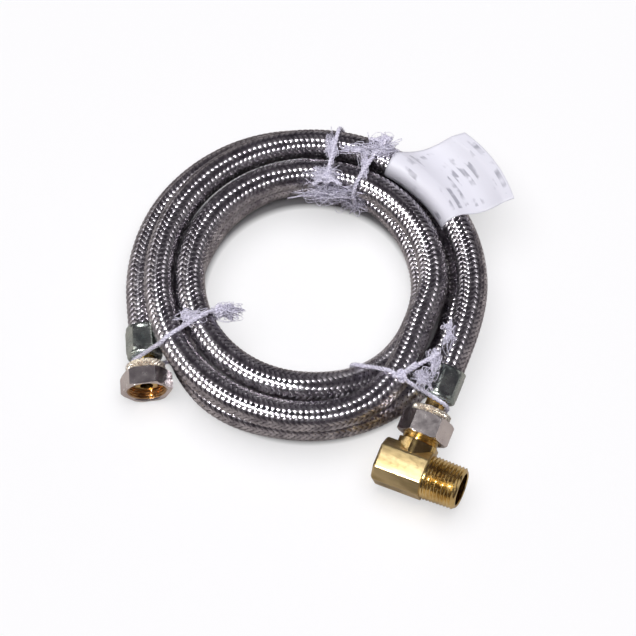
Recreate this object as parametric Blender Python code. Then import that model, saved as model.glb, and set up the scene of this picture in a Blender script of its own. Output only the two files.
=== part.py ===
"""A coiled stainless-braided dishwasher supply line, 3/8 in, with a compression nut at each end and a brass
90 degree elbow on its outlet.

The hose is wound about three and a half turns, in two layers, and held by four twine ties. Lengths are in
millimetres; MM turns them into Blender's metres. Up is +Z, and the line rests on z = 0.
"""

from math import cos, pi, radians, sin

import bpy
import numpy as np
from mathutils import Matrix, Vector

MM = 0.001
COIL_CENTRE = (-3.2, 10.6)  # the coil's axis, seen from the middle of the whole line's box

# Hose
HOSE_R = 6.0
JACKET_WALL = 0.4
LINER_R = 5.2
LINER_WALL = 1.1
LAYER_STEP = 12.4  # from the middle of one layer to the next
LOW_Z = 8.4
TOP_Z = LOW_Z + LAYER_STEP
TURN_STEP = 18  # degrees between route points

# The coil: (turn angle in degrees from the outlet end, radius). The top layer runs inwards, the hose
# drops to the bottom layer between the two crossing angles, and that layer runs outwards again.
CROSSING = (262, 340)
INNER_R = 47.4
CROSSING_STEP = 13.2  # how far the top layer moves in over its crossing
TOP_OUTER = ((0, 64.3), (90, 60.8), (180, 60.0), (225, 60.6), (262, 60.6))
TOP_INNER = ((340, 47.4), (360, 48.9), (450, 46.9), (540, 47.4), (622, 48.0))
BOTTOM = (
    (700, 45.3), (722, 46.4), (735, 46.7), (810, 50.8), (850, 49.2), (878, 48.3), (900, 50.8),
    (937, 59.0), (955, 60.6), (985, 59.1), (1080, 59.4), (1170, 67.9), (1200, 69.3), (1225, 69.0),
    (1245, 68.2), (1260, 67.8),
)
LAST_TURN = 1260
INLET_RISE = ((700, LOW_Z), (1190, LOW_Z), (1250, 10.2), (1260, 10.2))

# Ends: where the hose stops, and the way it points there
INLET_END, INLET_WAY = (-65.0, -30.7, 10.2), (0.09, -0.996, 0.0)
OUTLET_END, OUTLET_WAY = (49.4, -51.3, 17.0), (-0.38, -0.90, -0.19)
HOSE_STOP = -0.5  # along the end's own axis, like every length from here on
FERRULE_MIDDLE = -6.0

# Crimped ferrule
FERRULE_R, FERRULE_BORE = 7.05, 6.35
FERRULE_BACK, FERRULE_FRONT = -12.6, 0.5
FERRULE_WEB = 0.8
FERRULE_HOLE = 4.25

# Barbed tailpiece
BARB_TIP, BARB_PITCH, BARBS = -12.0, 2.6, 4
BARB_R, BARB_ROOT = 3.4, 3.1
TAIL_BORE = 2.6
NECK_R, NECK_START = 3.9, -0.2
HEAD_R, HEAD_BACK, HEAD_FRONT = 6.2, 7.0, 8.6

# Sealing cone
CONE_BACK, CONE_RIM_FRONT, CONE_NOSE = 8.9, 9.9, 12.2
CONE_R, CONE_NOSE_R, CONE_BORE = 6.2, 4.4, 2.6

# Coupling nut, measured from its back face
NUT_FLATS = 18.0
NUT_LENGTH = 11.8
KNURL_R = 7.8
NUT_WEB, NUT_HOLE = 1.7, 4.3
NUT_CAVITY_R, NUT_THREAD_R, NUT_THREAD_START = 6.7, 7.45, 4.7
OUTLET_NUT_EXTRA = 0.2  # how much longer the outlet's nut is, all of it behind its threads
INLET_KNURL, OUTLET_KNURL = 4.4, 3.2
INLET_NUT_BACK, OUTLET_NUT_BACK = 3.1, 4.8
INLET_NUT_ROLL, OUTLET_NUT_ROLL = 6, -3

# Elbow, about the point where its two bores meet; its x axis is the pipe thread, its z axis the nut's
ELBOW_AT = 30.2
ELBOW_ROLL = 6
BLOCK_BACK, BLOCK_FRONT = -12.0, 7.8
BLOCK_FLATS, BLOCK_CHAMFER = 17.5, 4.0
BLOCK_EASE, BLOCK_EASE_RUN = 1.0, 0.8  # how the closed end draws in, and over what length
STUB_R, STUB_BORE = 7.14, 3.6
STUB_FACE = 10.3 - ELBOW_AT
SEAT_R, SEAT_DEPTH = 6.5, 4.4
PIPE_END, PIPE_BIG_R, PIPE_SMALL_R, PIPE_BORE = 22.0, 8.75, 8.35, 6.4

# Twine ties
TWINE_R = 0.9
TAIL_R = 0.85
TAIL_HUMP = 0.8
TWINE_GAP = 0.6
KNOT_SIZE = (2.3, 2.3, 1.9)
KNOT_LIFT = 1.5  # off the loop, so that the knot lies on the hose and not in it

# Paper label over the outer turn, in rows across the hose
LABEL_ANGLES = (57, 54, 45, 36, 29, 22)
LABEL_THICK = 0.4
LABEL_GAP = 0.35
LABEL_WRAP = (205, 68)  # degrees round the hose, where the stuck half starts and ends
LABEL_FLAG = (28.9, 21.0)  # the free half's reach, at its first and its last row
LABEL_WAYS = ((0.964, 0.266), (0.972, 0.233))  # the way that it runs, first row and last
LABEL_DIP = (4.6, 2.5)  # how deep the free half hangs behind the hose, first row and last
LABEL_CURL = (1.0, 3.4)  # how far its outer edge turns up again
LABEL_RISE = 1.2


# ---------------------------------------------------------------- curves and frames


def unit(v):
    v = np.array(v, float)
    return v / np.linalg.norm(v)


def through(stations, at):
    """The value at one place on a smooth curve through (place, value) stations, which never overshoots."""
    x, y = np.array(stations, float).T
    run = np.diff(x)
    slope = np.diff(y) / run
    lean = np.zeros(len(x))
    lean[0], lean[-1] = slope[0], slope[-1]
    for i in range(1, len(x) - 1):
        if slope[i - 1] * slope[i] > 0:
            lean[i] = 2 * slope[i - 1] * slope[i] / (slope[i - 1] + slope[i])
    k = int(np.clip(np.searchsorted(x, at) - 1, 0, len(run) - 1))
    t = (at - x[k]) / run[k]
    ends = (2 * t**3 - 3 * t**2 + 1) * y[k] + (3 * t**2 - 2 * t**3) * y[k + 1]
    leans = (t**3 - 2 * t**2 + t) * lean[k] + (t**3 - t**2) * lean[k + 1]
    return ends + leans * run[k]


def coil_point(turn):
    """The hose's centre at a turn angle in degrees."""
    start, stop = CROSSING
    if turn <= start:
        r, z = through(TOP_OUTER, turn), TOP_Z
    elif turn <= stop:
        r, z = INNER_R + CROSSING_STEP * cos(crossing_phase(turn)), TOP_Z
    elif turn <= start + 360:
        r, z = through(TOP_INNER, turn), TOP_Z
    elif turn <= stop + 360:
        drop = sin(crossing_phase(turn - 360))
        above, below = TOP_INNER[-1][1], BOTTOM[0][1]
        r, z = above + (below - above) * drop, TOP_Z - LAYER_STEP * drop
    else:
        r, z = through(BOTTOM, turn), through(INLET_RISE, turn)
    return np.array((r * cos(radians(turn)), r * sin(radians(turn)), z))


def chord_point(turn):
    """The centre of the hose's own straight stretch at a turn angle."""
    before = turn // TURN_STEP * TURN_STEP
    share = (turn - before) / TURN_STEP
    return coil_point(before) * (1 - share) + coil_point(before + TURN_STEP) * share


def crossing_phase(turn):
    """From 0 to a quarter turn over the crossing, eased at both ends."""
    share = (turn - CROSSING[0]) / (CROSSING[1] - CROSSING[0])
    return pi / 4 * (1 - cos(pi * share))


def bend(start, start_way, stop, stop_way, count):
    """Points on a smooth bend from start to stop, leaving out both ends."""
    start, stop = np.array(start), np.array(stop)
    pull = np.linalg.norm(stop - start)
    points = []
    for t in np.linspace(0, 1, count + 2)[1:-1]:
        ends = (2 * t**3 - 3 * t**2 + 1) * start + (3 * t**2 - 2 * t**3) * stop
        ways = (t**3 - 2 * t**2 + t) * unit(start_way) + (t**3 - t**2) * unit(stop_way)
        points.append(ends + pull * ways)
    return points


def along(end, way, distance):
    return np.array(end) + unit(way) * distance


def hose_route(step=TURN_STEP):
    """The hose's centre line, from its outlet end to its inlet end."""
    outlet = [along(OUTLET_END, OUTLET_WAY, d) for d in (HOSE_STOP, FERRULE_MIDDLE, FERRULE_BACK)]
    inlet = [along(INLET_END, INLET_WAY, d) for d in (FERRULE_BACK, FERRULE_MIDDLE, HOSE_STOP)]
    turns = [coil_point(turn) for turn in np.arange(0, LAST_TURN + 1, step)]
    near = coil_point(1) - coil_point(0)
    far = coil_point(LAST_TURN) - coil_point(LAST_TURN - 1)
    lead_in = bend(outlet[-1], -np.array(OUTLET_WAY), turns[0], near, round(36 / step))
    lead_out = bend(turns[-1], far, inlet[0], INLET_WAY, round(18 / step))
    return np.array(outlet + lead_in + turns + lead_out + inlet)


def end_frame(end, way, distance=0.0, roll=0.0):
    """Places a piece on an end's axis: its z axis points out of the hose and its y axis up."""
    z = Vector(unit(way))
    x = Vector((0, 0, 1)).cross(z).normalized()
    turned = Matrix((x, z.cross(x), z)).transposed().to_4x4()
    at = Matrix.Translation(Vector(along(end, way, distance)) * MM)
    return at @ turned @ Matrix.Rotation(radians(roll), 4, "Z")


# ---------------------------------------------------------------- materials and objects


def material(name, colour, roughness, metallic=0.0):
    m = bpy.data.materials.new(name)
    m.use_nodes = True
    m.diffuse_color = (*colour, 1)
    shader = m.node_tree.nodes["Principled BSDF"]
    shader.inputs["Base Color"].default_value = (*colour, 1)
    shader.inputs["Roughness"].default_value = roughness
    shader.inputs["Metallic"].default_value = metallic
    return m


def add(name, data, finish, parent, place=None):
    obj = bpy.data.objects.new(name, data)
    bpy.context.scene.collection.objects.link(obj)
    data.materials.append(finish)
    obj.parent = parent
    if place is not None:
        obj.matrix_local = place
    return obj


def mesh_from(name, points, faces, sharp=35):
    mesh = bpy.data.meshes.new(name)
    mesh.from_pydata([tuple(p) for p in np.array(points) * MM], [], faces)
    mesh.shade_smooth()
    mesh.set_sharp_from_angle(angle=radians(sharp))
    return mesh


def ring_faces(rings, sides, closed):
    """Quads between successive rings of points, and from the last ring to the first if closed."""
    faces = []
    for i in range(rings if closed else rings - 1):
        a, b = i * sides, (i + 1) % rings * sides
        for k in range(sides):
            n = (k + 1) % sides
            faces.append((a + k, a + n, b + n, b + k))
    return faces


def turned(name, profile, sides=24):
    """A hollow turned mesh. profile goes once round its wall: out along the outside, back up the bore.

    A radius may be a function of the angle, for flats.
    """
    points = []
    for z, r in profile:
        for k in range(sides):
            a = 2 * pi * k / sides
            radius = r(a) if callable(r) else r
            points.append((radius * cos(a), radius * sin(a), z))
    return mesh_from(name, points, ring_faces(len(profile), sides, closed=True))


def hexagon(flats, limit=99.0):
    """The radius of a hexagon across its flats, cut back to a circle where its corners pass the limit."""
    return lambda a: min(limit, flats / 2 / cos((a + 1e-9) % (pi / 3) - pi / 6))


def curve_tube(name, route, radius, resolution, finish, parent, closed=False, capped=True):
    curve = bpy.data.curves.new(name, "CURVE")
    curve.dimensions = "3D"
    curve.bevel_depth = radius * MM
    curve.bevel_resolution = resolution
    curve.use_fill_caps = capped and not closed
    spline = curve.splines.new("POLY")
    spline.points.add(len(route) - 1)
    spline.use_cyclic_u = closed
    for point, place in zip(spline.points, route):
        point.co = (*(np.array(place) * MM), 1)
    return add(name, curve, finish, parent)


# ---------------------------------------------------------------- hose and end fittings


def hose(parent, braid, plastic):
    """The braid and the liner inside it, both open at their ends."""
    for name, radius, wall, finish in (
        ("braided_jacket", HOSE_R, JACKET_WALL, braid),
        ("inner_tube", LINER_R, LINER_WALL, plastic),
    ):
        tube = curve_tube(name, hose_route(), radius, 2, finish, parent, capped=False)
        wall_of = tube.modifiers.new("wall", "SOLIDIFY")
        wall_of.thickness = wall * MM
        wall_of.offset = -1
        wall_of.use_even_offset = True


def ferrule_mesh():
    back, front = FERRULE_BACK, FERRULE_FRONT
    return turned("ferrule", (
        (back, FERRULE_BORE), (back, FERRULE_R - 0.15), (back + 0.4, FERRULE_R),
        (front - 0.6, FERRULE_R), (front, FERRULE_R - 0.5), (front, FERRULE_HOLE),
        (front - FERRULE_WEB, FERRULE_HOLE), (front - FERRULE_WEB, FERRULE_BORE),
    ), 28)


def tailpiece_mesh():
    profile = [(BARB_TIP, TAIL_BORE), (BARB_TIP, BARB_ROOT - 0.1)]
    for i in range(BARBS):
        crest = BARB_TIP + 1.0 + i * BARB_PITCH
        profile += [(crest, BARB_R), (crest + 0.2, BARB_ROOT)]
    profile += [
        (NECK_START, BARB_ROOT), (NECK_START, NECK_R), (HEAD_BACK, NECK_R), (HEAD_BACK, HEAD_R),
        (HEAD_FRONT, HEAD_R), (HEAD_FRONT, TAIL_BORE),
    ]
    return turned("tailpiece", profile)


def cone_mesh():
    return turned("sealing_cone", (
        (CONE_BACK, CONE_BORE), (CONE_BACK, CONE_R), (CONE_RIM_FRONT, CONE_R),
        (CONE_NOSE, CONE_NOSE_R), (CONE_NOSE, CONE_BORE),
    ))


def nut_mesh(knurl, extra):
    """The coupling nut: a knurled collar and a chamfered hexagon round a threaded bore."""
    long, web, thread = NUT_LENGTH + extra, NUT_WEB + extra, NUT_THREAD_START + extra
    return turned("coupling_nut", (
        (0, NUT_HOLE), (0, KNURL_R - 0.5), (0.5, KNURL_R), (knurl, KNURL_R),
        (knurl, hexagon(NUT_FLATS, 9.5)), (knurl + 0.6, hexagon(NUT_FLATS)),
        (long - 0.9, hexagon(NUT_FLATS)), (long, hexagon(NUT_FLATS, 9.0)),
        (long, NUT_THREAD_R), (thread, NUT_THREAD_R),
        (thread, NUT_CAVITY_R), (web, NUT_CAVITY_R), (web, NUT_HOLE),
    ), 36)


def end_fittings(parent, steel, nickel, brass):
    ferrule, tail, cone = ferrule_mesh(), tailpiece_mesh(), cone_mesh()
    inlet_nut, outlet_nut = nut_mesh(INLET_KNURL, 0.0), nut_mesh(OUTLET_KNURL, OUTLET_NUT_EXTRA)
    for side, end, way, nut, nut_back, roll in (
        ("inlet", INLET_END, INLET_WAY, inlet_nut, INLET_NUT_BACK, INLET_NUT_ROLL),
        ("outlet", OUTLET_END, OUTLET_WAY, outlet_nut, OUTLET_NUT_BACK, OUTLET_NUT_ROLL),
    ):
        place = end_frame(end, way)
        for name, mesh, finish in (
            ("ferrule", ferrule, steel), ("tailpiece", tail, brass), ("sealing_cone", cone, brass),
        ):
            add(f"{side}_{name}", mesh.copy(), finish, parent, place)
        add(f"{side}_nut", nut, nickel, parent, end_frame(end, way, nut_back, roll))


# ---------------------------------------------------------------- elbow


def solid_turned(name, profile, sides=32):
    """A solid turned mesh between flat ends. profile is (z, r) from one end to the other."""
    turns = [2 * pi * k / sides for k in range(sides)]
    points = [(r * cos(a), r * sin(a), z) for z, r in profile for a in turns]
    last = (len(profile) - 1) * sides
    faces = ring_faces(len(profile), sides, closed=False)
    faces += [tuple(reversed(range(sides))), tuple(range(last, last + sides))]
    return mesh_from(name, points, faces)


def block_mesh():
    """The forged block: a square bar along x with its four long edges cut off and its closed end eased."""
    half, cut = BLOCK_FLATS / 2, BLOCK_CHAMFER
    points = []
    for x, inset in ((BLOCK_BACK, BLOCK_EASE), (BLOCK_BACK + BLOCK_EASE_RUN, 0.0), (BLOCK_FRONT, 0.0)):
        h, c = half - inset, half - cut - inset * 0.4
        corners = ((c, -h), (h, -c), (h, c), (c, h), (-c, h), (-h, c), (-h, -c), (-c, -h))
        points += [(x, y, z) for y, z in corners]
    faces = ring_faces(3, 8, closed=False) + [tuple(reversed(range(8))), tuple(range(16, 24))]
    return mesh_from("elbow", points, faces)


def elbow(parent, brass):
    place = end_frame(OUTLET_END, OUTLET_WAY, ELBOW_AT, ELBOW_ROLL)
    body = add("elbow", block_mesh(), brass, parent, place)
    stub = ((STUB_FACE, STUB_R - 0.4), (STUB_FACE + 0.5, STUB_R), (1 - BLOCK_FLATS / 2, STUB_R))
    seat = (
        (STUB_FACE - 1, SEAT_R + 0.6), (STUB_FACE, SEAT_R),
        (STUB_FACE + SEAT_DEPTH, STUB_BORE), (0, STUB_BORE),
    )
    pipe = (
        (BLOCK_FRONT - 1, PIPE_BIG_R), (BLOCK_FRONT + 1, PIPE_BIG_R),
        (PIPE_END - 0.8, PIPE_SMALL_R), (PIPE_END, PIPE_SMALL_R - 0.5),
    )
    bore = ((-6, 3.0), (-3, PIPE_BORE - 0.6), (0, PIPE_BORE), (PIPE_END + 1, PIPE_BORE))
    to_x = Matrix.Rotation(pi / 2, 4, "Y")
    for name, profile, turn, operation in (
        ("stub", stub, Matrix(), "UNION"),
        ("pipe", pipe, to_x, "UNION"),
        ("seat", seat, Matrix(), "DIFFERENCE"),
        ("bore", bore, to_x, "DIFFERENCE"),
    ):
        combine(body, name, operation, solid_turned(name, profile), turn)


def combine(body, name, operation, mesh, place=None):
    """Joins a mesh to a body, or cuts it away, with a hidden guide that is placed in the body's own frame."""
    guide = add(f"{body.name}_{name}_guide", mesh, body.data.materials[0], body, place)
    guide.hide_render = True
    guide.display_type = "WIRE"
    join = body.modifiers.new(name, "BOOLEAN")
    join.operation = operation
    join.object = guide
    join.solver = "EXACT"


# ---------------------------------------------------------------- twine ties


def plane_cuts(start, stop):
    """Where the hose's centre line passes over a line on the floor, with its way there."""
    route = hose_route()
    across = unit(stop - start)
    side = (route[:, :2] - start) @ (-across[1], across[0])
    cuts = []
    for i in np.nonzero(side[:-1] * side[1:] < 0)[0]:
        t = side[i] / (side[i] - side[i + 1])
        at = route[i] + t * (route[i + 1] - route[i])
        if 0 < (at[:2] - start) @ across < np.linalg.norm(stop - start):
            cuts.append((at, unit(route[i + 1] - route[i]), HOSE_R))
    return cuts


def convex_outline(points):
    """The outline of a cloud of (s, z) points, counter-clockwise."""
    points = sorted({(round(s, 4), round(z, 4)) for s, z in points})

    def chain(ordered):
        hull = []
        for p in ordered:
            while len(hull) > 1 and turn_of(hull[-2], hull[-1], p) <= 0:
                hull.pop()
            hull.append(p)
        return hull[:-1]

    return chain(points) + chain(points[::-1])


def turn_of(a, b, c):
    return (b[0] - a[0]) * (c[1] - a[1]) - (b[1] - a[1]) * (c[0] - a[0])


def tie_loop(plan, neck=None):
    """A taut loop of twine round all the turns that a line on the floor crosses, and round a fitting's neck.

    The line may have a knee, where the twine turns aside to run square across the neck.
    """
    plan = [np.array(p) for p in plan]
    cloud = []
    done = 0.0
    for start, stop in zip(plan, plan[1:]):
        across = unit(stop - start)
        normal = np.array((-across[1], across[0]))
        rounds = plane_cuts(start, stop)
        if neck is not None and stop is plan[-1]:
            end, way = neck
            t = (start - np.array(end[:2])) @ normal / (unit(way)[:2] @ normal)
            rounds.append((along(end, way, t), unit(way), NECK_R))
        for centre, way, radius in rounds:
            s = done + (centre[:2] - start) @ across
            wide = 1 / abs(way[:2] @ normal)
            clear = radius + TWINE_GAP + TWINE_R
            for k in range(24):
                a = 2 * pi * k / 24
                cloud.append((s + clear * wide * cos(a), centre[2] + clear * sin(a)))
        done += np.linalg.norm(stop - start)
    outline = respaced(convex_outline(cloud), 2.4, 4.5)
    return [np.array((*on_plan(plan, s), z)) for s, z in outline]


def on_plan(plan, s):
    """The floor point at a length along the plan line, which runs on straight past its ends."""
    for start, stop in zip(plan, plan[1:]):
        reach = np.linalg.norm(stop - start)
        if s <= reach or stop is plan[-1]:
            return start + unit(stop - start) * s
        s -= reach


def respaced(outline, least, most):
    """The outline with points closer than least left out, and spans longer than most divided."""
    kept = [np.array(outline[0])]
    for p in outline[1:]:
        if np.linalg.norm(p - kept[-1]) >= least:
            kept.append(np.array(p))
    if np.linalg.norm(kept[0] - kept[-1]) < least / 2:
        kept.pop()
    points = []
    for a, b in zip(kept, kept[1:] + kept[:1]):
        parts = max(1, round(np.linalg.norm(b - a) / most))
        points += [a + (b - a) * i / parts for i in range(parts)]
    return points


def tube_mesh(name, route, radius, sides=8, closed=False):
    """A solid tube along a route, as a loop or with flat ends."""
    route = np.array(route, float)
    ways = np.roll(route, -1, 0) - np.roll(route, 1, 0) if closed else np.gradient(route, axis=0)
    across = unit(np.cross(ways[0], (0.31, 0.52, 0.79)))
    points = []
    for place, way in zip(route, ways):
        way = unit(way)
        across = unit(across - way * (across @ way))
        beside = np.cross(way, across)
        for k in range(sides):
            a = 2 * pi * k / sides
            points.append(place + radius * (cos(a) * across + sin(a) * beside))
    faces = ring_faces(len(route), sides, closed)
    if not closed:
        last = (len(route) - 1) * sides
        faces += [tuple(reversed(range(sides))), tuple(range(last, last + sides))]
    return mesh_from(name, points, faces, sharp=60)


def knot_mesh(centre):
    """The lump that a pulled knot makes, leaning with the loop."""
    points = []
    rings, sides = 5, 10
    for i in range(rings):
        high = pi * (i + 0.5) / rings
        for k in range(sides):
            a = 2 * pi * k / sides
            shape = (sin(high) * cos(a), sin(high) * sin(a), -cos(high))
            points.append(np.array(centre) + np.array(KNOT_SIZE) * shape)
    last = (rings - 1) * sides
    faces = ring_faces(rings, sides, closed=False)
    faces += [tuple(reversed(range(sides))), tuple(range(last, last + sides))]
    return mesh_from("knot", points, faces, sharp=60)


def knot_centre(loop, wanted):
    """The loop's nearest point to the wanted place, lifted off what the loop holds."""
    i = min(range(len(loop)), key=lambda k: np.linalg.norm(loop[k] - wanted))
    way = unit(loop[(i + 1) % len(loop)] - loop[i - 1])
    outward = loop[i] - np.mean(loop, axis=0)
    return loop[i] + KNOT_LIFT * unit(outward - way * (outward @ way))


def ties(parent, twine):
    """Four ties. Each has its line on the floor, the place of its knot and its tails' ends."""
    inlet_neck, outlet_neck = (INLET_END, INLET_WAY), (OUTLET_END, OUTLET_WAY)
    for name, plan, neck, knot, tails in (
        ("inlet_tie", ((-33.0, -14.3), (-58.5, -31.9), (-78.0, -33.65)), inlet_neck, (-38.2, -17.0, 22.5),
         ((-28.5, -14.5, 18.5), (-33.0, -19.5, 17.0))),
        ("outlet_tie", ((13.5, -34.0), (41.0, -50.45), (58.5, -57.85)), outlet_neck, (42.5, -50.5, 27.2),
         ((50.0, -37.5, 29.0), (40.0, -43.0, 29.5))),
        ("top_tie", ((5.0, 34.0), (14.5, 76.0)), None, (7.4, 41.5, 27.9),
         ((3.5, 36.0, 26.5), (12.5, 37.5, 28.6))),
        ("label_tie", ((13.6, 30.2), (36.0, 69.0)), None, (29.6, 57.6, 27.9),
         ((33.5, 61.5, 28.9), (24.5, 62.0, 28.9))),
    ):
        loop = tie_loop(plan, neck)
        body = add(name, tube_mesh(name, loop, TWINE_R, closed=True), twine, parent)
        centre = knot_centre(loop, np.array(knot))
        combine(body, "knot", "UNION", knot_mesh(centre))
        for i, tip in enumerate(tails):
            middle = (centre + np.array(tip)) / 2 + (0, 0, TAIL_HUMP)
            tail = tube_mesh("tail", (centre, middle, tip), TAIL_R, sides=6)
            combine(body, f"tail_{i + 1}", "UNION", tail)


# ---------------------------------------------------------------- label


def label(parent, paper):
    """A paper tag stuck over the outer turn's inner side and top, its free half standing out of the coil."""
    rows, wrap, flag = len(LABEL_ANGLES), 9, 9
    wrap_start, wrap_stop = LABEL_WRAP
    rho = HOSE_R + LABEL_GAP + LABEL_THICK / 2
    first_way, last_way = (np.array((*unit(way), 0.0)) for way in LABEL_WAYS)
    points = []
    for i in range(rows):
        angle = LABEL_ANGLES[i]
        share = (angle - LABEL_ANGLES[0]) / (LABEL_ANGLES[-1] - LABEL_ANGLES[0])
        centre = chord_point(angle)
        radial = np.array((cos(radians(angle)), sin(radians(angle)), 0.0))
        up = np.array((0, 0, 1.0))
        for k in range(wrap):
            a = radians(wrap_start + (wrap_stop - wrap_start) * k / (wrap - 1))
            points.append(centre + rho * (cos(a) * radial + sin(a) * up))
        root = points[-1]
        pairs = (LABEL_FLAG, LABEL_DIP, LABEL_CURL)
        reach, dip, curl = (first + (last - first) * share for first, last in pairs)
        way = unit(first_way * (1 - share) + last_way * share)
        for k in range(1, flag + 1):
            t = k / flag
            lift = LABEL_RISE * t - dip * sin(pi * min(1, 1.25 * t)) + curl * t * t
            points.append(root + way * reach * t + up * lift)
    columns = wrap + flag
    faces = []
    for i in range(rows - 1):
        for k in range(columns - 1):
            a = i * columns + k
            faces.append((a, a + 1, a + columns + 1, a + columns))
    sheet = add("wrap_label", mesh_from("wrap_label", points, faces, sharp=60), paper, parent)
    thick = sheet.modifiers.new("thickness", "SOLIDIFY")
    thick.thickness = LABEL_THICK * MM
    thick.offset = 0


# ---------------------------------------------------------------- the whole line


def main():
    for old in list(bpy.data.objects):
        bpy.data.objects.remove(old, do_unlink=True)
    line = bpy.data.objects.new("supply_line", None)
    line.location = Vector((*COIL_CENTRE, 0)) * MM
    bpy.context.scene.collection.objects.link(line)
    steel = material("crimped_steel", (0.42, 0.45, 0.42), 0.30, 1.0)
    braid = material("stainless_braid", (0.50, 0.48, 0.52), 0.25, 1.0)
    nickel = material("nickel_plate", (0.55, 0.49, 0.46), 0.28, 1.0)
    brass = material("brass", (0.72, 0.52, 0.22), 0.25, 1.0)
    plastic = material("clear_pvc", (0.75, 0.77, 0.74), 0.35)
    twine = material("white_twine", (0.80, 0.78, 0.86), 0.85)
    paper = material("white_paper", (0.88, 0.88, 0.92), 0.60)
    hose(line, braid, plastic)
    end_fittings(line, steel, nickel, brass)
    elbow(line, brass)
    ties(line, twine)
    label(line, paper)


main()
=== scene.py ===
"""The looks of a coiled, braided water supply line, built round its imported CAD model.

Lengths are in millimetres in the coil's own frame, whose z axis is the coil's. Shape.mesh moves them to the
model's frame, in metres. The hose, the twine and the label follow the CAD source's rules, only finer.
"""

from math import cos, pi, radians, sin

import bmesh
import bpy
import numpy as np
from mathutils import Matrix, Vector


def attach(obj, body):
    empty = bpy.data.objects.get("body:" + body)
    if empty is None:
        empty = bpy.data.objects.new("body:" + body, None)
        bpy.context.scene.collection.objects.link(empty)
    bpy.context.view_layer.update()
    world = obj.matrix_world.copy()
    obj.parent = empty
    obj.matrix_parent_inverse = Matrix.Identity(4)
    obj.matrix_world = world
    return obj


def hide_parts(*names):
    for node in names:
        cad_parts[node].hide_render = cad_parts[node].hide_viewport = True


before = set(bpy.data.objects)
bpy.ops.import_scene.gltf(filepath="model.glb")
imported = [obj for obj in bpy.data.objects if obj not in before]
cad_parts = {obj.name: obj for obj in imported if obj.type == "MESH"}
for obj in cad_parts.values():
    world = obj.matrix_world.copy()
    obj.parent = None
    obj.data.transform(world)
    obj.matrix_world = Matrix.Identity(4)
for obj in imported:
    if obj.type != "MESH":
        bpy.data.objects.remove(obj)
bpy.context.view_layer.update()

MM = 0.001
CENTRE = np.array((-3.2, 10.6, 0.0))
UP = np.array((0.0, 0.0, 1.0))
SEED = 11

# Hose
HOSE_R = 6.0
LAYER_STEP = 12.4
LOW_Z = 8.4
TOP_Z = LOW_Z + LAYER_STEP
CROSSING = (262, 340)
INNER_R = 47.4
CROSSING_STEP = 13.2
TOP_OUTER = ((0, 64.3), (90, 60.8), (180, 60.0), (225, 60.6), (262, 60.6))
TOP_INNER = ((340, 47.4), (360, 48.9), (450, 46.9), (540, 47.4), (622, 48.0))
BOTTOM = (
    (700, 45.3), (722, 46.4), (735, 46.7), (810, 50.8), (850, 49.2), (878, 48.3), (900, 50.8),
    (937, 59.0), (955, 60.6), (985, 59.1), (1080, 59.4), (1170, 67.9), (1200, 69.3), (1225, 69.0),
    (1245, 68.2), (1260, 67.8),
)
LAST_TURN = 1260
INLET_RISE = ((700, LOW_Z), (1190, LOW_Z), (1250, 10.2), (1260, 10.2))
INLET_END, INLET_WAY = (-65.0, -30.7, 10.2), (0.09, -0.996, 0.0)
OUTLET_END, OUTLET_WAY = (49.4, -51.3, 17.0), (-0.38, -0.90, -0.19)
HOSE_STOP, FERRULE_MIDDLE, FERRULE_BACK, FERRULE_FRONT = -0.5, -6.0, -12.6, 0.5
FERRULE_R, FERRULE_CORNER, FERRULE_FLATS = 6.95, 7.25, 13.0
LINER_ROWS, LINER_SIDES = 900, 32

# Braid
CARRIERS = 12  # each way round
LAY = 26.0  # along the hose, for one turn of a carrier
RIBBON_WIDTH = 1.34
WEAVE_R, WEAVE_LIFT, RIBBON_CROWN = 5.62, 0.2, 0.14
BACKING_R = 5.35
FLOAT_STEPS = 8  # mesh steps over one over-two, under-two repeat

# Fittings
NUT_FLATS, NUT_HOLE_R = 18.0, 4.3
KNURL_R, KNURL_CUT, KNURL_TEETH, KNURL_LEAN = 6.95, 0.95, 28, 0.62
INLET_NUT, OUTLET_NUT = (3.1, 4.4, 11.8), (4.8, 3.2, 12.0)  # where its back is, its knurl's length, its own
NUT_ROLLS, FERRULE_ROLLS = (6, -3), (0, 38)
NUT_THREAD_PITCH, PIPE_THREAD_PITCH = 25.4 / 24, 25.4 / 18
NUT_THREAD_LONG, NUT_THREAD_ROOT, NUT_THREAD_CREST = 7.1, 7.55, 6.95
STUB_THREAD_ROOT, STUB_THREAD_CREST = 6.65, 7.14
ELBOW_AT, ELBOW_ROLL = 30.2, 6
BLOCK_BACK, BLOCK_FRONT, BLOCK_FLATS, BLOCK_CHAMFER = -12.0, 7.8, 17.5, 4.0
BLOCK_ROUND, BLOCK_TURN = 0.55, -24
STUB_FACE, BOSS_FLATS = 10.3 - ELBOW_AT, 15.2
PIPE_END, PIPE_R, PIPE_TAPER, PIPE_THREAD_DEEP = 22.0, 8.75, 0.4, 0.6
PIPE_BORE_R, STUB_BORE_R = 6.45, 3.65

# Twine and label
TWINE_R, TWINE_GAP, NECK_R = 0.9, 0.12, 3.9
KNOT_SIZE, KNOT_TURNS, KNOT_TWINE_R, TAIL_R = 2.6, 6, 0.85, 0.95
LOOP_FIBRES, KNOT_FIBRES, TAIL_FIBRES, FIBRE_R = 160, 60, 50, 0.035
WISP_R, WISP_OFF_HOSE, WISP_OFF_FLOOR = (0.09, 0.2), 0.15, 0.4
PLIES, PLY_LAY, PLY_SHARE, PLY_PITCH = 3, 0.5, 0.55, 5.0
LABEL_ANGLES = (57, 22)
LABEL_THICK, LABEL_GAP = 0.16, 0.2
LABEL_WRAP = (205, 68)
LABEL_FLAG, LABEL_DIP, LABEL_CURL = (28.9, 21.0), (4.6, 2.5), (1.0, 3.4)
LABEL_WAYS, LABEL_RISE = ((0.964, 0.266), (0.972, 0.233)), 1.2

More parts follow.
